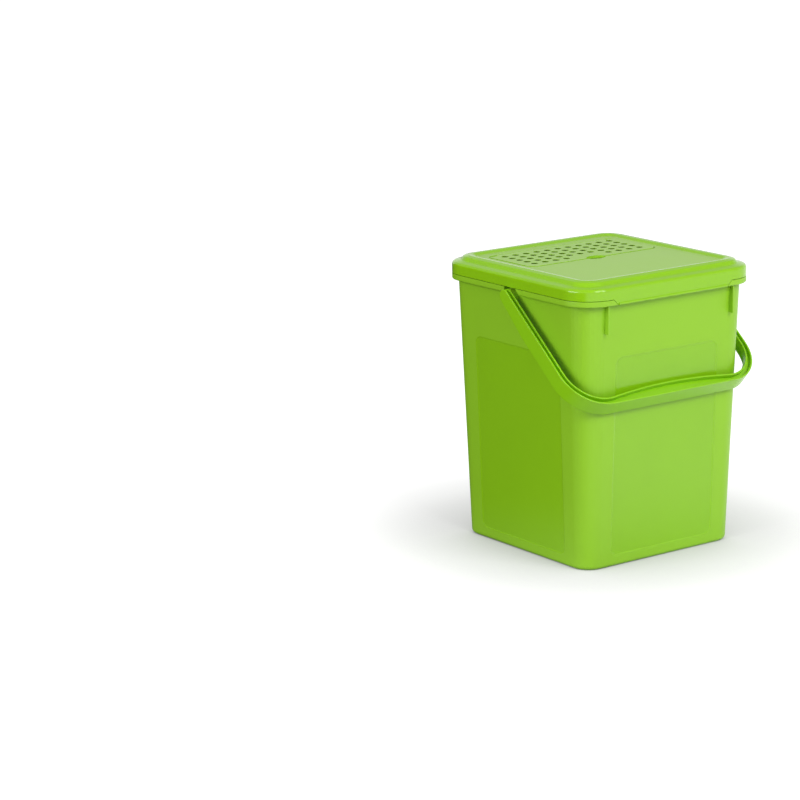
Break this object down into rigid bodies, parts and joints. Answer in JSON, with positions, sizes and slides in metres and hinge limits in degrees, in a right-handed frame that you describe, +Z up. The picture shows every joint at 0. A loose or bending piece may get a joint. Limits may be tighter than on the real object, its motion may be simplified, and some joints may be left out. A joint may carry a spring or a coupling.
{
  "type": "kitchen compost bin",
  "caption": "Tapered square kitchen compost bin with a bail handle, a rear-hinged lid and a perforated filter hatch over a carbon pad in the lid.",
  "frame": {"origin": "on the floor, under the middle of the bucket", "axes": "+Z up; -Y is the front, with the lifting lip and the hanging handle; the lid's hinge is at +Y; the handle pivots on the X sides"},
  "size_m": [0.2316, 0.2287, 0.2772],
  "materials": {
    "green_plastic": "satin moulded lime-green polypropylene",
    "filter_foam": "black carbon fleece"
  },
  "bodies": {
    "bucket": {"bucket": "green_plastic"},
    "lid": {"lid": "green_plastic", "carbon_filter": "filter_foam"},
    "hatch": {"filter_hatch": "green_plastic"},
    "handle": {"handle": "green_plastic"}
  },
  "joints": [
    {"name": "handle_swing", "type": "hinge", "parent": "bucket", "child": "handle", "pos_m": [0, 0, 0.253], "axis": [-1, 0, 0], "range_deg": [0, 259]},
    {"name": "lid_hinge", "type": "hinge", "parent": "bucket", "child": "lid", "pos_m": [0, 0.1115, 0.2571], "axis": [-1, 0, 0], "range_deg": [0, 105]},
    {"name": "hatch_hinge", "type": "hinge", "parent": "lid", "child": "hatch", "pos_m": [0, 0.0719, 0.2735], "axis": [-1, 0, 0], "range_deg": [0, 90]}
  ]
}
